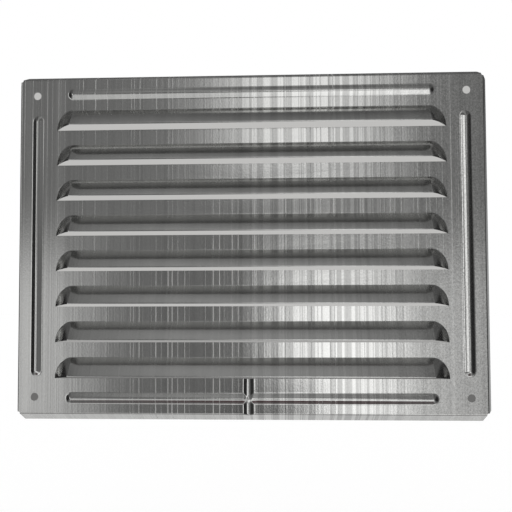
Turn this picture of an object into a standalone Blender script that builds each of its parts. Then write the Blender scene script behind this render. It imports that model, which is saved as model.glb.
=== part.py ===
"""Louvred air grille: one pressed sheet-steel plate.

The plate hangs on a wall in the plane Y = 0, with X along the louvres, Z up and -Y into the room.
Its origin is the middle of the rear rim. The face is a sheet of even thickness whose height over the
wall is a function of X and Z, so the whole stamping is one closed skin: a flat face with openings,
eight hoods that close onto it, raised beads, and four flared return flanges.
"""
import math

import bmesh
import bpy
from mathutils import Vector
from mathutils.geometry import delaunay_2d_cdt

MM = 0.001

# Driving dimensions, in millimetres.
FACE_WIDTH = 250.0
FACE_HEIGHT = 181.0
CORNER_RADIUS = 2.0
SHEET = 0.5

FLANGE_DEPTH = 8.0
FLANGE_FLARE = math.radians(23.0)
BOTTOM_FLANGE_FLARE = math.radians(29.0)

LOUVRES = 8
LOUVRE_PITCH = 19.15
TOP_SLOT_Z = 62.4
SLOT_HALF_LENGTH = 105.0
HOOD_DEPTH = 11.3
HOOD_HEIGHT = 7.5
HOOD_END_WIDTH = 9.2
LIP_SET_BACK = 1.6
HOOD_BULGE = 0.3

SCREW_HOLE_DIAMETER = 4.2
SCREW_HOLE_X = 116.0
SCREW_HOLE_Z = 81.6

BEAD_HALF_WIDTH = 2.8
BEAD_HEIGHT = 1.5
BEAD_CREST = 0.3
SIDE_BEAD_X = 115.3
SIDE_BEAD_HALF_LENGTH = 67.5
CROSS_BEAD_Z = 82.2
CROSS_BEAD_HALF_LENGTH = 96.0
SHORT_BEAD_X = -0.8

# How finely the round stretches are divided.
CORNER_STEPS = 4
HOLE_STEPS = 20
HOOD_END_STEPS = 7
HOOD_ROWS = 4
BEAD_RINGS = 3
BEAD_END_STEPS = 8
PLAN_TOLERANCE = 0.001

SLOT_LEVELS = [TOP_SLOT_Z - LOUVRE_PITCH * row for row in range(LOUVRES)]
BEADS = [
    ((-CROSS_BEAD_HALF_LENGTH, CROSS_BEAD_Z), (CROSS_BEAD_HALF_LENGTH, CROSS_BEAD_Z)),
    ((-CROSS_BEAD_HALF_LENGTH, -CROSS_BEAD_Z), (CROSS_BEAD_HALF_LENGTH, -CROSS_BEAD_Z)),
    ((-SIDE_BEAD_X, -SIDE_BEAD_HALF_LENGTH), (-SIDE_BEAD_X, SIDE_BEAD_HALF_LENGTH)),
    ((SIDE_BEAD_X, -SIDE_BEAD_HALF_LENGTH), (SIDE_BEAD_X, SIDE_BEAD_HALF_LENGTH)),
]


def ridge(ratio):
    """Height of a bead at a share of its half width: straight flanks and a rounded crest."""
    if ratio >= 1.0:
        return 0.0
    foot = math.hypot(1.0, BEAD_CREST)
    return BEAD_HEIGHT * (foot - math.hypot(ratio, BEAD_CREST)) / (foot - BEAD_CREST)


def distance_to_segment(point, start, end):
    """Distance in plan from a point to the straight line between two others."""
    along = Vector(end) - Vector(start)
    offset = Vector(point) - Vector(start)
    share = max(0.0, min(1.0, offset.dot(along) / along.length_squared))
    return (offset - along * share).length


def face_height(x, z):
    """How far the face stands out of its own flat at a point in plan; crossing beads melt together."""
    heights = [ridge(distance_to_segment((x, z), *bead) / BEAD_HALF_WIDTH) for bead in BEADS]
    if z < SLOT_LEVELS[-1] + PLAN_TOLERANCE:
        heights.append(ridge(abs(x - SHORT_BEAD_X) / BEAD_HALF_WIDTH))
    return sum(height ** 3 for height in heights) ** (1.0 / 3.0)


def place(x, z, height):
    """A point of the front skin, in metres, from its plan place and its height over the face."""
    return Vector((x, -FLANGE_DEPTH - height, z)) * MM


def arc(centre, radius, start, end, steps):
    """Points along a circular arc in plan."""
    angles = [start + (end - start) * step / steps for step in range(steps + 1)]
    return [(centre[0] + radius * math.cos(a), centre[1] + radius * math.sin(a)) for a in angles]


def face_outline():
    """The folded edge of the face, with its four corners rounded."""
    points = []
    for turn, (side_x, side_z) in enumerate(((1, 1), (-1, 1), (-1, -1), (1, -1))):
        centre = (side_x * (FACE_WIDTH / 2 - CORNER_RADIUS), side_z * (FACE_HEIGHT / 2 - CORNER_RADIUS))
        start = turn * math.pi / 2
        points += arc(centre, CORNER_RADIUS, start, start + math.pi / 2, CORNER_STEPS)
    return points


def hood_columns():
    """Plan columns of a hood: (x, depth of the opening there, share of the full lip height)."""
    left = []
    for step in range(HOOD_END_STEPS + 1):
        angle = math.pi / 2 * step / HOOD_END_STEPS
        share = 1.0 - math.cos(angle)
        lip = 0.5 * (share + math.sin(math.pi / 2 * share))
        left.append((-SLOT_HALF_LENGTH + HOOD_END_WIDTH * share, HOOD_DEPTH * math.sin(angle), lip))
    right = [(-x, depth, lip) for x, depth, lip in reversed(left)]
    return left + right


def slot_outline(slot_z):
    """The opening behind one hood: its hinge line, two round ends and the straight slot edge."""
    return [(x, slot_z + depth) for x, depth, lip in hood_columns()]


def hole_outlines():
    """The four screw holes."""
    outlines = []
    for side_x in (-1, 1):
        for side_z in (-1, 1):
            centre = (side_x * SCREW_HOLE_X, side_z * SCREW_HOLE_Z)
            outlines.append(arc(centre, SCREW_HOLE_DIAMETER / 2, 0.0, math.tau, HOLE_STEPS)[:-1])
    return outlines


def bead_rings(start, end):
    """Closed lines of even height round a bead, from its foot towards its crest."""
    direction = Vector(end) - Vector(start)
    heading = math.atan2(direction.y, direction.x)
    rings = []
    for ring in range(BEAD_RINGS):
        radius = BEAD_HALF_WIDTH * (1.0 - ring / BEAD_RINGS)
        nose = arc(end, radius, heading - math.pi / 2, heading + math.pi / 2, BEAD_END_STEPS)
        tail = arc(start, radius, heading + math.pi / 2, heading + math.pi * 1.5, BEAD_END_STEPS)
        rings.append(nose + tail)
    return rings


def inside(polygon, x, z):
    """Whether a point lies inside a closed polygon in plan."""
    crossings = 0
    for (x0, z0), (x1, z1) in zip(polygon, polygon[1:] + polygon[:1]):
        if (z0 > z) != (z1 > z) and x < x0 + (x1 - x0) * (z - z0) / (z1 - z0):
            crossings += 1
    return crossings % 2 == 1


def add_face_skin(bm):
    """The front skin of the face: triangles between all plan lines, lifted to the face's height."""
    outline = face_outline()
    openings = [slot_outline(level) for level in SLOT_LEVELS] + hole_outlines()
    closed_lines = [outline] + openings
    open_lines = []
    for start, end in BEADS:
        closed_lines += bead_rings(start, end)
        open_lines.append([start, end])
    for ring in range(-BEAD_RINGS, BEAD_RINGS + 1):
        x = SHORT_BEAD_X + BEAD_HALF_WIDTH * ring / BEAD_RINGS
        open_lines.append([(x, SLOT_LEVELS[-1]), (x, -FACE_HEIGHT / 2)])

    points = []
    edges = []
    for line in closed_lines + open_lines:
        first = len(points)
        points += [Vector(point) for point in line]
        edges += [(index, index + 1) for index in range(first, len(points) - 1)]
        if line in closed_lines:
            edges.append((len(points) - 1, first))
    plan, _, triangles = delaunay_2d_cdt(points, edges, [], 0, PLAN_TOLERANCE)[:3]

    verts = [bm.verts.new(place(point.x, point.y, face_height(point.x, point.y))) for point in plan]
    for triangle in triangles:
        centre = sum((plan[index] for index in triangle), Vector((0.0, 0.0))) / 3.0
        if inside(outline, *centre) and not any(inside(hole, *centre) for hole in openings):
            bm.faces.new([verts[index] for index in triangle])
    bmesh.ops.delete(bm, geom=[vert for vert in bm.verts if not vert.link_faces], context="VERTS")


def add_hood_skin(bm, slot_z):
    """The front skin of one hood, from its hinge line and round ends down to its free lip."""
    columns = []
    for x, depth, lip in hood_columns():
        lip_z = slot_z + LIP_SET_BACK * lip
        column = []
        for row in range(HOOD_ROWS + 1):
            share = row / HOOD_ROWS
            rise = share + HOOD_BULGE * share * (1.0 - share)
            z = slot_z + depth + (lip_z - slot_z - depth) * share
            column.append(bm.verts.new(place(x, z, HOOD_HEIGHT * lip * rise)))
        columns.append(column)
    for left, right in zip(columns, columns[1:]):
        for row in range(HOOD_ROWS):
            bm.faces.new((left[row], left[row + 1], right[row + 1], right[row]))


def fold_side(vert):
    """The outward plan direction of the straight folded edge that a vertex lies on, or None."""
    x = vert.co.x / MM
    z = vert.co.z / MM
    if abs(abs(x) - FACE_WIDTH / 2) < PLAN_TOLERANCE:
        return Vector((math.copysign(1.0, x), 0.0, 0.0))
    if abs(abs(z) - FACE_HEIGHT / 2) < PLAN_TOLERANCE:
        return Vector((0.0, 0.0, math.copysign(1.0, z)))
    return None


def flare_of(outward):
    """How far a flange leans outwards; the bottom one is folded back less than the others."""
    return BOTTOM_FLANGE_FLARE if outward.z < 0.0 else FLANGE_FLARE


def add_flange_skins(bm, steps_back):
    """Fold a flange back from each straight edge, and note where each point's twin goes behind it."""
    fold = {}
    for edge in bm.edges:
        sides = [fold_side(vert) for vert in edge.verts]
        if edge.is_boundary and None not in sides and sides[0] == sides[1]:
            fold[edge] = sides[0]
    made = bmesh.ops.extrude_edge_only(bm, edges=list(fold))
    for vert in [item for item in made["geom"] if isinstance(item, bmesh.types.BMVert)]:
        outward = fold_side(vert)
        flare = flare_of(outward)
        vert.co += outward * FLANGE_DEPTH * math.tan(flare) * MM
        vert.co.y = 0.0
        steps_back[vert] = -outward * SHEET / math.cos(flare) * MM
    for edge, outward in fold.items():
        flare = flare_of(outward)
        mitre = SHEET * (1.0 - math.sin(flare)) / math.cos(flare)
        for vert in edge.verts:
            steps_back[vert] = (Vector((0.0, SHEET, 0.0)) - outward * mitre) * MM


def thicken(bm, steps_back):
    """Close the skin into a sheet: a back skin, and walls along every free edge."""
    straight_back = Vector((0.0, SHEET, 0.0)) * MM
    free_edges = []
    for edge in bm.edges:
        if edge.is_boundary:
            loop = edge.link_loops[0]
            free_edges.append((loop.vert, loop.link_loop_next.vert))
    front_faces = list(bm.faces)
    front_verts = list(bm.verts)
    back = {vert: bm.verts.new(vert.co + steps_back.get(vert, straight_back)) for vert in front_verts}
    for face in front_faces:
        bm.faces.new([back[vert] for vert in reversed(face.verts)])
    for start, end in free_edges:
        bm.faces.new((end, start, back[start], back[end]))


def bright_steel():
    """Bright zinc-coated steel."""
    material = bpy.data.materials.new("bright_zinc_steel")
    material.use_nodes = True
    shader = material.node_tree.nodes["Principled BSDF"]
    shader.inputs["Base Color"].default_value = (0.60, 0.60, 0.59, 1.0)
    shader.inputs["Metallic"].default_value = 1.0
    shader.inputs["Roughness"].default_value = 0.25
    return material


def build_louvre_plate():
    """The whole stamping, as one closed object."""
    bm = bmesh.new()
    add_face_skin(bm)
    for level in SLOT_LEVELS:
        add_hood_skin(bm, level)
    bmesh.ops.remove_doubles(bm, verts=list(bm.verts), dist=PLAN_TOLERANCE * MM)
    bmesh.ops.recalc_face_normals(bm, faces=list(bm.faces))
    if sum(face.normal.y for face in bm.faces) > 0.0:
        bmesh.ops.reverse_faces(bm, faces=list(bm.faces))
    steps_back = {}
    add_flange_skins(bm, steps_back)
    bmesh.ops.triangulate(bm, faces=list(bm.faces))
    thicken(bm, steps_back)
    mesh = bpy.data.meshes.new("louvre_plate")
    bm.to_mesh(mesh)
    bm.free()
    mesh.shade_smooth()
    mesh.set_sharp_from_angle(angle=math.radians(30.0))
    mesh.materials.append(bright_steel())
    plate = bpy.data.objects.new("louvre_plate", mesh)
    bpy.context.scene.collection.objects.link(plate)


def main():
    for item in list(bpy.data.objects):
        bpy.data.objects.remove(item, do_unlink=True)
    build_louvre_plate()


main()
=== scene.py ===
"""Looks for the louvred air grille: a finely formed skin of bright coated steel, studio and camera."""
import math
from collections import namedtuple

import bmesh
import bpy
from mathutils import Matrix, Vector
from mathutils.geometry import delaunay_2d_cdt


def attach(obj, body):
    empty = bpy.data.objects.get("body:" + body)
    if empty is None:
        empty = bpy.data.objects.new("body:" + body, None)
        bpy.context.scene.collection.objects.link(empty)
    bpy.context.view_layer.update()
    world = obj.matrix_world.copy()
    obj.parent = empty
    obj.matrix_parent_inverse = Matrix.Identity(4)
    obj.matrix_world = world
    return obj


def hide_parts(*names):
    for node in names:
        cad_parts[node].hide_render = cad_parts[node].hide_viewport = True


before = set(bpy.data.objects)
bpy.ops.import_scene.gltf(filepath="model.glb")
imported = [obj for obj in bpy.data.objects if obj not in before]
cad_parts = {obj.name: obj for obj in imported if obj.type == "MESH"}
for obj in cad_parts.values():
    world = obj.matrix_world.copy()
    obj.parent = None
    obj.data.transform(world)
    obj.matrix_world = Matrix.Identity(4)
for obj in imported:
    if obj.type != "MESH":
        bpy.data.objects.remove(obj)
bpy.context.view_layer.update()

MM = 0.001

# The plate's own sizes, in millimetres, as in the CAD model.
FACE_WIDTH = 250.0
FACE_HEIGHT = 181.0
SHEET = 0.5
FLANGE_DEPTH = 8.0
FLANGE_FLARE = math.radians(23.0)
BOTTOM_FLANGE_FLARE = math.radians(29.0)
LOUVRES = 8
LOUVRE_PITCH = 19.15
TOP_SLOT_Z = 62.4
SLOT_HALF_LENGTH = 105.0
HOOD_DEPTH = 11.3
HOOD_HEIGHT = 7.5
HOOD_END_WIDTH = 9.2
LIP_SET_BACK = 1.6
HOOD_BULGE = 0.3
SCREW_HOLE_DIAMETER = 4.2
SCREW_HOLE_X = 116.0
SCREW_HOLE_Z = 81.6
BEAD_HALF_WIDTH = 2.8
BEAD_HEIGHT = 1.5
BEAD_CREST = 0.3
SIDE_BEAD_X = 115.3
SIDE_BEAD_HALF_LENGTH = 67.5
CROSS_BEAD_Z = 82.2
CROSS_BEAD_HALF_LENGTH = 96.0
SHORT_BEAD_X = -0.8

# Finer forms that only the looks have, in millimetres unless they are shares. The flat's corners are
# cut almost square, because the bends beside them round the plate off.
BEND_RADIUS = 1.0
HINGE_FILLET_SHARE = 0.05
LIP_ROLL_SHARE = 0.09
LIP_ROLL_DROP = 0.05
BEAD_FOOT_SOFTNESS = 0.1
BEAD_REACH = 1.3
BEAD_MELTING = 3.0
FLAT_CORNER_RADIUS = 0.4
SHARP_ANGLE = math.radians(38.0)

# The card of painted shade behind the slots, standing in for the shaded surface there: half its width and
# height, and its place behind the wall plane.
SHADE_X = 124.0
SHADE_Z = 88.5
SHADE_Y = 0.5

# How finely everything is divided.
CORNER_STEPS = 10
HOLE_STEPS = 40
HOOD_END_STEPS = 26
HOOD_STRAIGHT_STEP = 6.0
HOOD_ROW_SHARES = (0, 0.02, 0.04, 0.07, 0.11, 0.16, 0.24, 0.34, 0.45, 0.56, 0.67, 0.77, 0.85, 0.90,
                   0.925, 0.945, 0.962, 0.976, 0.988, 1)
BEAD_RINGS = 10
BEAD_END_STEPS = 20
BEND_STEPS = 7
PLAN_TOLERANCE = 0.001

# A smooth change of a value from low to high as another goes from start to end.
Ramp = namedtuple("Ramp", "start end low high")

# A soft-edged patch of light by direction: each pair is across (the direction's X) and up (its Z).
SoftBox = namedtuple("SoftBox", "centre size edge strength")

# The steel: noise scales per metre, offsets that shift a noise along X, and how much each one counts.
STEEL_TONE = 0.50
STEEL_BLUE_SHARE = 0.98
STEEL_ROUGHNESS = 0.10
BROAD_SCALE = 90.0
BROAD_TONE = 0.22
BROAD_ROUGHNESS = 0.06
LINE_SCALE = 900.0
LINE_OFFSET = 3.7
LINE_TONE = 0.16
LINE_ROUGHNESS = 0.30
BAND_SCALE = 260.0
BAND_OFFSET = 1.3
BAND_SHARE_ELSEWHERE = 0.2
PATCH_SCALE = 14.0
GRAIN_SCALE = 1300.0
RELIEF_STRENGTH = 0.12
RELIEF_DEPTH = 0.0002
LINE_RAMP = Ramp(0.60, 0.72, 0.0, 1.0)  # only the noise's peaks make lines
PATCH_RAMP = Ramp(0.38, 0.62, 0.25, 1.0)  # lines fade in and out over patches of the sheet
FACE_RAMP = Ramp(-0.0105, -0.0088, 0.25, 1.0)  # by Y: streaks are faint on the stretched hoods
BAND_RAMP = Ramp(0.46, 0.54, -0.12, 0.12)  # bands have nearly hard edges
BAND_START_RAMP = Ramp(-0.015, 0.005, 0.0, 1.0)  # by X: bands are strongest right of the middle
BAND_END_RAMP = Ramp(0.05, 0.09, 1.0, 0.0)
GRAIN_RAMP = Ramp(0.06, 0.11, 0.10, 0.50)  # by X: grain is coarser at the right

# The studio as the metal mirrors it. Directions have X across, Y along (the front is -Y) and Z up.
ROOM_RAMP = Ramp(0.0, 0.15, 0.165, 0.20)  # by up: a little brighter above the horizon
CEILING_RAMP = Ramp(0.35, 0.75, 0.0, -0.09)  # by up: and darker towards the ceiling
BEHIND_RAMP = Ramp(-0.10, 0.20, 1.0, 0.2)  # by along: dim behind the plate
SIDES_RAMP = Ramp(0.72, 0.90, 1.0, 0.15)  # by distance across: dark at both sides
FRONT_RAMP = Ramp(-0.35, 0.0, 1.0, 0.0)  # by along: the front boxes end beside the plate
WALL_RAMP = Ramp(0.15, 0.45, 0.0, 1.0)  # by along: directions towards the wall
WALL_GLOW_RAMP = Ramp(-0.05, 0.30, 0.34, 0.06)  # by up: the wall is lighter low down
WALL_FOOT_RAMP = Ramp(-0.45, -0.20, 0.30, 0.0)  # by up: and lightest at its foot
RED_RAMP = Ramp(-0.92, -0.82, 1.0, 0.0)  # by up and distance along from the red patch's middle
RED_ALONG = -0.36
RED_DIMMING = 0.50
RED_GREEN_LOSS = 0.50
RED_BLUE_LOSS = 0.45
FRONT_BOXES = [
    SoftBox(centre=(0.03, 0.33), size=(0.06, 0.24), edge=(0.17, 0.09), strength=0.88),
    SoftBox(centre=(0.075, -0.14), size=(0.16, 0.20), edge=(0.03, 0.15), strength=0.78),
    SoftBox(centre=(0.16, -0.14), size=(0.22, 0.22), edge=(0.10, 0.16), strength=0.45),
    SoftBox(centre=(-0.42, -0.12), size=(0.12, 0.20), edge=(0.14, 0.14), strength=0.55),
    SoftBox(centre=(-0.66, 0.05), size=(0.12, 0.50), edge=(0.08, 0.20), strength=1.10),
    SoftBox(centre=(0.0, -0.62), size=(0.90, 0.36), edge=(0.20, 0.12), strength=0.50),
    SoftBox(centre=(0.16, -0.66), size=(0.26, 0.20), edge=(0.16, 0.10), strength=0.55),
]
OVERHEAD_BOX = SoftBox(centre=(-0.05, 0.80), size=(0.16, 0.20), edge=(0.34, 0.15), strength=0.22)
DARK_FLAG = SoftBox(centre=(0.0, -0.22), size=(0.06, 0.10), edge=(0.05, 0.05), strength=0.80)

# The painted shade's colour, and its glow by Z: painted shade, darker behind the lowest slots.
PAINTED_SHADE_COLOUR = (1.0, 0.99, 0.97, 1.0)
PAINTED_SHADE_RAMP = Ramp(-0.075, -0.035, 0.15, 0.52)

# Floor and camera, in metres and degrees.
WHITE = (1.0, 1.0, 1.0, 1.0)
FLOOR_HALF_SIZE = 6.0
FLOOR_LEVEL = -0.32
FLOOR_ROUGHNESS = 0.9
CAMERA_LENS = 45.69
CAMERA_PLACE = (0.0175, -0.3547, -0.0213)
CAMERA_TURN = (92.43, 0.2, 2.34)

SLOT_LEVELS = [TOP_SLOT_Z - LOUVRE_PITCH * row for row in range(LOUVRES)]
BEADS = [
    ((-CROSS_BEAD_HALF_LENGTH, CROSS_BEAD_Z), (CROSS_BEAD_HALF_LENGTH, CROSS_BEAD_Z)),
    ((-CROSS_BEAD_HALF_LENGTH, -CROSS_BEAD_Z), (CROSS_BEAD_HALF_LENGTH, -CROSS_BEAD_Z)),
    ((-SIDE_BEAD_X, -SIDE_BEAD_HALF_LENGTH), (-SIDE_BEAD_X, SIDE_BEAD_HALF_LENGTH)),
    ((SIDE_BEAD_X, -SIDE_BEAD_HALF_LENGTH), (SIDE_BEAD_X, SIDE_BEAD_HALF_LENGTH)),
]


def turn_angle(flare):
    """How far the sheet turns at a fold whose flange leans outwards by flare."""
    return math.pi / 2 - flare


def fold_set_back(flare):
    """How far the flat of the face stops short of the sharp fold line, to leave room for the bend."""
    return BEND_RADIUS * math.tan(turn_angle(flare) / 2)


SIDE_EDGE = FACE_WIDTH / 2 - fold_set_back(FLANGE_FLARE)
TOP_EDGE = FACE_HEIGHT / 2 - fold_set_back(FLANGE_FLARE)
BOTTOM_EDGE = -FACE_HEIGHT / 2 + fold_set_back(BOTTOM_FLANGE_FLARE)


def ridge(ratio):
    """Height of a bead at a share of its half width: straight flanks, round crest, soft foot."""
    foot = math.hypot(1.0, BEAD_CREST)
    sharp = BEAD_HEIGHT * (foot - math.hypot(ratio, BEAD_CREST)) / (foot - BEAD_CREST)
    return 0.5 * (sharp + math.hypot(sharp, BEAD_FOOT_SOFTNESS))


def distance_to_segment(x, z, start, end):
    """Distance in plan from a point to a straight line that runs along X or along Z."""
    near_x = min(max(x, start[0]), end[0])
    near_z = min(max(z, start[1]), end[1])
    return math.hypot(x - near_x, z - near_z)


def face_height(x, z):
    """How far the face stands out of its own flat at a point in plan; crossing beads melt together."""
    heights = []
    for start, end in BEADS:
        ratio = distance_to_segment(x, z, start, end) / BEAD_HALF_WIDTH
        if ratio < BEAD_REACH:
            heights.append(ridge(ratio))
    ratio = abs(x - SHORT_BEAD_X) / BEAD_HALF_WIDTH
    if z < SLOT_LEVELS[-1] + PLAN_TOLERANCE and ratio < BEAD_REACH:
        heights.append(ridge(ratio))
    return sum(height ** BEAD_MELTING for height in heights) ** (1.0 / BEAD_MELTING)


def place(x, z, height):
    """A point of the front skin, in metres, from its plan place and its height over the face."""
    return Vector((x, -FLANGE_DEPTH - height, z)) * MM


def arc(centre, radius, start, end, steps):
    """Points along a circular arc in plan."""
    angles = [start + (end - start) * step / steps for step in range(steps + 1)]
    return [(centre[0] + radius * math.cos(a), centre[1] + radius * math.sin(a)) for a in angles]


def face_outline():
    """The edge of the face's flat, with its four corners rounded."""
    corners = [(1, TOP_EDGE), (-1, TOP_EDGE), (-1, BOTTOM_EDGE), (1, BOTTOM_EDGE)]
    radius = FLAT_CORNER_RADIUS
    points = []
    for turn, (side_x, edge_z) in enumerate(corners):
        centre = (side_x * (SIDE_EDGE - radius), edge_z - math.copysign(radius, edge_z))
        start = turn * math.pi / 2
        points += arc(centre, radius, start, start + math.pi / 2, CORNER_STEPS)
    return points


def hood_columns():
    """Plan columns of a hood: (x, depth of the opening there, share of the full lip height)."""
    left = []
    for step in range(HOOD_END_STEPS + 1):
        angle = math.pi / 2 * step / HOOD_END_STEPS
        share = 1.0 - math.cos(angle)
        lip = 0.5 * (share + math.sin(math.pi / 2 * share))
        left.append((-SLOT_HALF_LENGTH + HOOD_END_WIDTH * share, HOOD_DEPTH * math.sin(angle), lip))
    half_straight = SLOT_HALF_LENGTH - HOOD_END_WIDTH
    steps = round(2 * half_straight / HOOD_STRAIGHT_STEP)
    middle = []
    for step in range(1, steps):
        middle.append((-half_straight + 2 * half_straight * step / steps, HOOD_DEPTH, 1.0))
    right = [(-x, depth, lip) for x, depth, lip in reversed(left)]
    return left + middle + right


def hood_rise(share):
    """Share of the lip's height at a share of the way from hinge to lip, with a fillet and a rolled lip."""
    fillet = HINGE_FILLET_SHARE
    eased = (math.hypot(share, fillet) - fillet) / (math.hypot(1.0, fillet) - fillet)
    rolled = max(0.0, (share - 1.0 + LIP_ROLL_SHARE) / LIP_ROLL_SHARE)
    return eased + HOOD_BULGE * eased * (1.0 - eased) - LIP_ROLL_DROP * rolled ** 2


def slot_outline(slot_z):
    """The opening behind one hood: its hinge line, two round ends and the straight slot edge."""
    return [(x, slot_z + depth) for x, depth, lip in hood_columns()]


def hole_outlines():
    """The four screw holes."""
    outlines = []
    for side_x in (-1, 1):
        for side_z in (-1, 1):
            centre = (side_x * SCREW_HOLE_X, side_z * SCREW_HOLE_Z)
            outlines.append(arc(centre, SCREW_HOLE_DIAMETER / 2, 0.0, math.tau, HOLE_STEPS)[:-1])
    return outlines


def bead_rings(start, end):
    """Closed lines of even height round a bead, from outside its foot towards its crest."""
    heading = 0.0 if start[1] == end[1] else math.pi / 2
    rings = []
    for ring in range(BEAD_RINGS):
        radius = BEAD_HALF_WIDTH * BEAD_REACH * (1.0 - ring / BEAD_RINGS)
        nose = arc(end, radius, heading - math.pi / 2, heading + math.pi / 2, BEAD_END_STEPS)
        tail = arc(start, radius, heading + math.pi / 2, heading + math.pi * 1.5, BEAD_END_STEPS)
        rings.append(nose + tail)
    return rings


def inside(polygon, x, z):
    """Whether a point lies inside a closed polygon in plan."""
    crossings = 0
    for (x0, z0), (x1, z1) in zip(polygon, polygon[1:] + polygon[:1]):
        if (z0 > z) != (z1 > z) and x < x0 + (x1 - x0) * (z - z0) / (z1 - z0):
            crossings += 1
    return crossings % 2 == 1


def add_face_skin(bm):
    """The front skin of the face: triangles between all plan lines, lifted to the face's height."""
    outline = face_outline()
    openings = [slot_outline(level) for level in SLOT_LEVELS] + hole_outlines()
    closed_lines = [outline] + openings
    open_lines = []
    for start, end in BEADS:
        closed_lines += bead_rings(start, end)
        open_lines.append([start, end])
    for ring in range(-BEAD_RINGS, BEAD_RINGS + 1):
        x = SHORT_BEAD_X + BEAD_HALF_WIDTH * BEAD_REACH * ring / BEAD_RINGS
        open_lines.append([(x, SLOT_LEVELS[-1]), (x, BOTTOM_EDGE)])

    points = []
    edges = []
    for number, line in enumerate(closed_lines + open_lines):
        first = len(points)
        points += [Vector(point) for point in line]
        edges += [(index, index + 1) for index in range(first, len(points) - 1)]
        if number < len(closed_lines):
            edges.append((len(points) - 1, first))
    plan, _, triangles = delaunay_2d_cdt(points, edges, [], 0, PLAN_TOLERANCE)[:3]

    verts = [bm.verts.new(place(point.x, point.y, face_height(point.x, point.y))) for point in plan]
    for triangle in triangles:
        centre = sum((plan[index] for index in triangle), Vector((0.0, 0.0))) / 3.0
        if inside(outline, *centre) and not any(inside(hole, *centre) for hole in openings):
            bm.faces.new([verts[index] for index in triangle])
    bmesh.ops.delete(bm, geom=[vert for vert in bm.verts if not vert.link_faces], context="VERTS")


def add_hood_skin(bm, slot_z):
    """The front skin of one hood, from its hinge line and round ends down to its free lip."""
    columns = []
    for x, depth, lip in hood_columns():
        lip_z = slot_z + LIP_SET_BACK * lip
        column = []
        for share in HOOD_ROW_SHARES:
            z = slot_z + depth + (lip_z - slot_z - depth) * share
            column.append(bm.verts.new(place(x, z, HOOD_HEIGHT * lip * hood_rise(share))))
        columns.append(column)
    for left, right in zip(columns, columns[1:]):
        for row in range(len(HOOD_ROW_SHARES) - 1):
            bm.faces.new((left[row], left[row + 1], right[row + 1], right[row]))


def fold_side(vert):
    """The outward plan direction of the straight edge of the flat that a vertex lies on, or None."""
    x = vert.co.x / MM
    z = vert.co.z / MM
    if abs(abs(x) - SIDE_EDGE) < PLAN_TOLERANCE:
        return Vector((math.copysign(1.0, x), 0.0, 0.0))
    if abs(z - TOP_EDGE) < PLAN_TOLERANCE or abs(z - BOTTOM_EDGE) < PLAN_TOLERANCE:
        return Vector((0.0, 0.0, math.copysign(1.0, z)))
    return None


def flare_of(outward):
    """How far a flange leans outwards; the bottom one is folded back less than the others."""
    return BOTTOM_FLANGE_FLARE if outward.z < 0.0 else FLANGE_FLARE


def flange_profile(flare):
    """Points across a bend and its flange: (outward, back, lean of the sheet there)."""
    turn = turn_angle(flare)
    profile = []
    for step in range(1, BEND_STEPS + 1):
        lean = turn * step / BEND_STEPS
        profile.append((BEND_RADIUS * math.sin(lean), BEND_RADIUS * (1.0 - math.cos(lean)), lean))
    last_out, last_back, lean = profile[-1]
    left = FLANGE_DEPTH - last_back
    profile.append((last_out + left * math.tan(flare), FLANGE_DEPTH, lean))
    return profile


def add_flange_skins(bm, steps_back):
    """Bend a flange back from each straight edge, and note where each point's twin goes behind it."""
    fold = {}
    for edge in bm.edges:
        sides = [fold_side(vert) for vert in edge.verts]
        if edge.is_boundary and None not in sides and sides[0] == sides[1]:
            fold[edge] = sides[0]
    strips = {}
    for edge, outward in fold.items():
        for vert in edge.verts:
            if vert in strips:
                continue
            flare = flare_of(outward)
            start_height = -FLANGE_DEPTH - vert.co.y / MM
            strip = [vert]
            for out, back, lean in flange_profile(flare):
                step = outward * out + Vector((0.0, back + start_height * back / FLANGE_DEPTH, 0.0))
                twin = outward * -math.sin(lean) + Vector((0.0, math.cos(lean), 0.0))
                point = bm.verts.new(vert.co + step * MM)
                steps_back[point] = twin * SHEET * MM
                strip.append(point)
            steps_back[strip[-1]] = -outward * SHEET / math.cos(flare) * MM
            strips[vert] = strip
    for edge in fold:
        loop = edge.link_loops[0]
        start, end = strips[loop.vert], strips[loop.link_loop_next.vert]
        for step in range(len(start) - 1):
            bm.faces.new((end[step], start[step], start[step + 1], end[step + 1]))


def thicken(bm, steps_back):
    """Close the skin into a sheet: a back skin, and walls along every free edge."""
    straight_back = Vector((0.0, SHEET, 0.0)) * MM
    free_edges = []
    for edge in bm.edges:
        if edge.is_boundary:
            loop = edge.link_loops[0]
            free_edges.append((loop.vert, loop.link_loop_next.vert))
    front_faces = list(bm.faces)
    front_verts = list(bm.verts)
    back = {vert: bm.verts.new(vert.co + steps_back.get(vert, straight_back)) for vert in front_verts}
    for face in front_faces:
        bm.faces.new([back[vert] for vert in reversed(face.verts)])
    for start, end in free_edges:
        bm.faces.new((end, start, back[start], back[end]))


def build_plate():
    """The whole stamping as one closed, finely divided mesh."""
    bm = bmesh.new()
    add_face_skin(bm)
    for level in SLOT_LEVELS:
        add_hood_skin(bm, level)
    bmesh.ops.remove_doubles(bm, verts=list(bm.verts), dist=PLAN_TOLERANCE * MM)
    bmesh.ops.recalc_face_normals(bm, faces=list(bm.faces))
    if sum(face.normal.y * face.calc_area() for face in bm.faces) > 0.0:
        bmesh.ops.reverse_faces(bm, faces=list(bm.faces))
    steps_back = {}
    add_flange_skins(bm, steps_back)
    thicken(bm, steps_back)
    mesh = bpy.data.meshes.new("louvre_plate_fine")
    bm.to_mesh(mesh)
    bm.free()
    mesh.shade_smooth()
    mesh.set_sharp_from_angle(angle=SHARP_ANGLE)
    plate = bpy.data.objects.new("louvre_plate_fine", mesh)
    bpy.context.scene.collection.objects.link(plate)
    weighted = plate.modifiers.new("flat_stays_flat", "WEIGHTED_NORMAL")
    weighted.mode = "FACE_AREA"
    weighted.keep_sharp = True
    return plate


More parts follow.
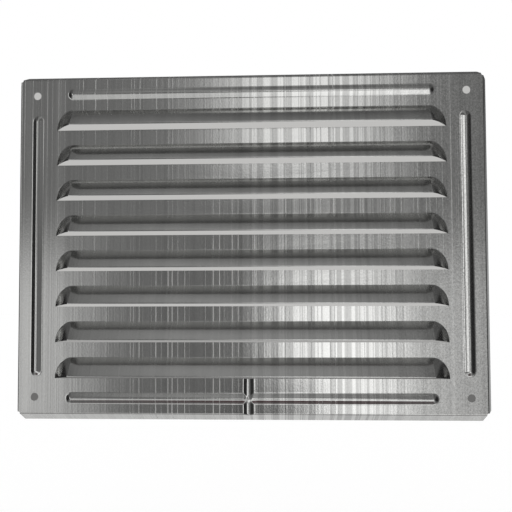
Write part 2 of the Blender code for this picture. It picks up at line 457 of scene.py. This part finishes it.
class Nodes:
    """Short calls for building a node tree."""

    def __init__(self, tree):
        self.tree = tree

    def node(self, kind, **values):
        made = self.tree.nodes.new(kind)
        for name, value in values.items():
            setattr(made, name, value)
        return made

    def feed(self, socket, source):
        if isinstance(source, bpy.types.NodeSocket):
            self.tree.links.new(source, socket)
        else:
            socket.default_value = source

    def math(self, operation, *sources):
        made = self.node("ShaderNodeMath", operation=operation)
        for socket, source in zip(made.inputs, sources):
            self.feed(socket, source)
        return made.outputs[0]

    def ramp(self, value, ramp):
        made = self.node("ShaderNodeMapRange", interpolation_type="SMOOTHSTEP")
        for socket, source in zip(made.inputs, (value, *ramp)):
            self.feed(socket, source)
        return made.outputs[0]

    def noise_along(self, x, scale, detail):
        """Noise that changes along one axis only."""
        made = self.node("ShaderNodeTexNoise", noise_dimensions="1D")
        made.inputs["Scale"].default_value = scale
        made.inputs["Detail"].default_value = detail
        self.feed(made.inputs["W"], x)
        return made.outputs["Fac"]

    def noise_through(self, place, scale, detail):
        """Noise that changes in all directions."""
        made = self.node("ShaderNodeTexNoise", noise_dimensions="3D")
        made.inputs["Scale"].default_value = scale
        made.inputs["Detail"].default_value = detail
        self.feed(made.inputs["Vector"], place)
        return made.outputs["Fac"]

    def mix_shaders(self, factor, first, second):
        made = self.node("ShaderNodeMixShader")
        for socket, source in zip(made.inputs, (factor, first, second)):
            self.feed(socket, source)
        return made.outputs[0]


def streak_bands(nodes, x):
    """Tone of the broad rolled bands across the sheet, strongest right of the middle."""
    middle = nodes.math("MULTIPLY", nodes.ramp(x, BAND_START_RAMP), nodes.ramp(x, BAND_END_RAMP))
    share = nodes.math("MULTIPLY_ADD", middle, 1.0 - BAND_SHARE_ELSEWHERE, BAND_SHARE_ELSEWHERE)
    noise = nodes.noise_along(nodes.math("ADD", x, BAND_OFFSET), BAND_SCALE, 3.0)
    return nodes.math("MULTIPLY", nodes.ramp(noise, BAND_RAMP), share)


def coated_steel():
    """Bright tin-coated sheet: near mirror, rolling streaks along Z, fine grain."""
    material = bpy.data.materials.new("coated_steel")
    material.use_nodes = True
    nodes = Nodes(material.node_tree)
    place_in_sheet = nodes.node("ShaderNodeTexCoord").outputs["Object"]
    axes = nodes.node("ShaderNodeSeparateXYZ")
    nodes.feed(axes.inputs[0], place_in_sheet)
    x = axes.outputs["X"]

    broad = nodes.noise_along(x, BROAD_SCALE, 3.0)
    fine = nodes.noise_along(nodes.math("ADD", x, LINE_OFFSET), LINE_SCALE, 2.0)
    patches = nodes.noise_through(place_in_sheet, PATCH_SCALE, 2.0)
    grain = nodes.noise_through(place_in_sheet, GRAIN_SCALE, 1.0)
    face_share = nodes.ramp(axes.outputs["Y"], FACE_RAMP)
    lines = nodes.math("MULTIPLY", nodes.ramp(fine, LINE_RAMP), nodes.ramp(patches, PATCH_RAMP))
    lines = nodes.math("MULTIPLY", lines, face_share)
    grain_tone = nodes.math("MULTIPLY", nodes.math("SUBTRACT", grain, 0.5), nodes.ramp(x, GRAIN_RAMP))

    tone = nodes.math("MULTIPLY_ADD", broad, BROAD_TONE, STEEL_TONE)
    tone = nodes.math("MULTIPLY_ADD", streak_bands(nodes, x), face_share, tone)
    tone = nodes.math("MULTIPLY_ADD", lines, LINE_TONE, tone)
    tone = nodes.math("ADD", grain_tone, tone)
    colour = nodes.node("ShaderNodeCombineColor")
    nodes.feed(colour.inputs[0], tone)
    nodes.feed(colour.inputs[1], tone)
    nodes.feed(colour.inputs[2], nodes.math("MULTIPLY", tone, STEEL_BLUE_SHARE))
    rough = nodes.math("MULTIPLY_ADD", lines, LINE_ROUGHNESS, STEEL_ROUGHNESS)
    rough = nodes.math("MULTIPLY_ADD", broad, BROAD_ROUGHNESS, rough)
    bump = nodes.node("ShaderNodeBump")
    bump.inputs["Strength"].default_value = RELIEF_STRENGTH
    bump.inputs["Distance"].default_value = RELIEF_DEPTH
    nodes.feed(bump.inputs["Height"], nodes.math("MULTIPLY", nodes.math("ADD", fine, grain), 0.5))

    shader = nodes.tree.nodes["Principled BSDF"]
    shader.inputs["Metallic"].default_value = 1.0
    nodes.feed(shader.inputs["Base Color"], colour.outputs[0])
    nodes.feed(shader.inputs["Roughness"], rough)
    nodes.feed(shader.inputs["Normal"], bump.outputs[0])
    return material


def softbox(nodes, across, up, box):
    """How much a soft box adds in a direction: full inside it, fading to nothing over its edge."""
    light = box.strength
    for value, middle, extent, fade in zip((across, up), box.centre, box.size, box.edge):
        distance = nodes.math("ABSOLUTE", nodes.math("SUBTRACT", value, middle))
        window = nodes.ramp(distance, Ramp(extent / 2, extent / 2 + fade, 1.0, 0.0))
        light = nodes.math("MULTIPLY", window, light)
    return light


def studio_light(nodes, across, along, up):
    """How bright the studio is in a direction: a dim room with soft boxes, and the wall behind."""
    light = nodes.math("ADD", nodes.ramp(up, ROOM_RAMP), nodes.ramp(up, CEILING_RAMP))
    light = nodes.math("MULTIPLY", light, nodes.ramp(along, BEHIND_RAMP))
    light = nodes.math("MULTIPLY", light, nodes.ramp(nodes.math("ABSOLUTE", across), SIDES_RAMP))
    front = nodes.ramp(along, FRONT_RAMP)
    for box in FRONT_BOXES:
        light = nodes.math("MULTIPLY_ADD", softbox(nodes, across, up, box), front, light)
    light = nodes.math("ADD", softbox(nodes, across, up, OVERHEAD_BOX), light)
    unflagged = nodes.math("SUBTRACT", 1.0, softbox(nodes, across, up, DARK_FLAG))
    light = nodes.math("MULTIPLY", light, unflagged)
    wall = nodes.math("ADD", nodes.ramp(up, WALL_GLOW_RAMP), nodes.ramp(up, WALL_FOOT_RAMP))
    return nodes.math("MULTIPLY_ADD", wall, nodes.ramp(along, WALL_RAMP), light)


def build_studio():
    """A plain pale studio: the metal mirrors soft boxes in a dim room, all else sees white."""
    world = bpy.data.worlds.new("studio")
    bpy.context.scene.world = world
    world.use_nodes = True
    nodes = Nodes(world.node_tree)
    axes = nodes.node("ShaderNodeSeparateXYZ")
    nodes.feed(axes.inputs[0], nodes.node("ShaderNodeTexCoord").outputs["Generated"])
    across, along, up = axes.outputs

    off_red = nodes.math("ABSOLUTE", nodes.math("SUBTRACT", along, RED_ALONG))
    red = nodes.ramp(nodes.math("ADD", up, off_red), RED_RAMP)
    dimming = nodes.math("MULTIPLY_ADD", red, -RED_DIMMING, 1.0)
    light = nodes.math("MULTIPLY", studio_light(nodes, across, along, up), dimming)
    tint = nodes.node("ShaderNodeCombineColor")
    tint.inputs[0].default_value = 1.0
    nodes.feed(tint.inputs[1], nodes.math("MULTIPLY_ADD", red, -RED_GREEN_LOSS, 1.0))
    nodes.feed(tint.inputs[2], nodes.math("MULTIPLY_ADD", red, -RED_BLUE_LOSS, 1.0))

    studio = nodes.tree.nodes["Background"]
    nodes.feed(studio.inputs["Color"], tint.outputs[0])
    nodes.feed(studio.inputs["Strength"], light)
    white = nodes.node("ShaderNodeBackground")
    white.inputs["Color"].default_value = WHITE
    mirrored = nodes.node("ShaderNodeLightPath").outputs["Is Glossy Ray"]
    mix = nodes.mix_shaders(mirrored, white.outputs[0], studio.outputs[0])
    nodes.feed(nodes.tree.nodes["World Output"].inputs["Surface"], mix)


def stage_sheet(name, corners, material):
    """A flat four-cornered piece of the studio that the metal doesn't mirror."""
    mesh = bpy.data.meshes.new(name)
    mesh.from_pydata(corners, [], [(0, 1, 2, 3)])
    mesh.materials.append(material)
    sheet = bpy.data.objects.new(name, mesh)
    bpy.context.scene.collection.objects.link(sheet)
    sheet.visible_glossy = False
    return sheet


def build_floor():
    """A plain pale floor well below the grille."""
    material = bpy.data.materials.new("pale_floor")
    material.use_nodes = True
    shader = material.node_tree.nodes["Principled BSDF"]
    shader.inputs["Base Color"].default_value = WHITE
    shader.inputs["Roughness"].default_value = FLOOR_ROUGHNESS
    shader.inputs["Specular IOR Level"].default_value = 0.0
    signs = [(-1, -1), (1, -1), (1, 1), (-1, 1)]
    corners = [(x * FLOOR_HALF_SIZE, y * FLOOR_HALF_SIZE, FLOOR_LEVEL) for x, y in signs]
    stage_sheet("floor", corners, material)


def build_painted_shade():
    """A glowing card of painted shade behind the grille, standing in for the shaded surface seen through
    its slots; from behind it is not there.
    """
    material = bpy.data.materials.new("shade")
    material.use_nodes = True
    nodes = Nodes(material.node_tree)
    axes = nodes.node("ShaderNodeSeparateXYZ")
    nodes.feed(axes.inputs[0], nodes.node("ShaderNodeTexCoord").outputs["Object"])
    # Painted shade: the card glows, dimmer low down, in place of the plate's shadow on the surface behind
    # it.
    painted_shade_glow = nodes.node("ShaderNodeEmission")
    painted_shade_glow.inputs["Color"].default_value = PAINTED_SHADE_COLOUR
    nodes.feed(painted_shade_glow.inputs["Strength"], nodes.ramp(axes.outputs["Z"], PAINTED_SHADE_RAMP))
    clear = nodes.node("ShaderNodeBsdfTransparent")
    from_behind = nodes.node("ShaderNodeNewGeometry").outputs["Backfacing"]
    mix = nodes.mix_shaders(from_behind, painted_shade_glow.outputs[0], clear.outputs[0])
    nodes.feed(nodes.tree.nodes["Material Output"].inputs["Surface"], mix)

    signs = [(-1, -1), (1, -1), (1, 1), (-1, 1)]
    corners = [Vector((x * SHADE_X, SHADE_Y, z * SHADE_Z)) * MM for x, z in signs]
    shade = stage_sheet("shade", corners, material)
    shade.visible_diffuse = False
    shade.visible_shadow = False


def build_camera():
    """Slightly below and right of the middle, looking a little up and to the left."""
    data = bpy.data.cameras.new("camera")
    data.lens = CAMERA_LENS
    camera = bpy.data.objects.new("camera", data)
    camera.location = CAMERA_PLACE
    camera.rotation_euler = [math.radians(angle) for angle in CAMERA_TURN]
    bpy.context.scene.collection.objects.link(camera)
    bpy.context.scene.camera = camera


plate = build_plate()
plate.data.materials.append(coated_steel())
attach(plate, "root")
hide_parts("louvre_plate")
build_studio()
build_floor()
build_painted_shade()
build_camera()
bpy.context.scene.view_settings.view_transform = "Standard"
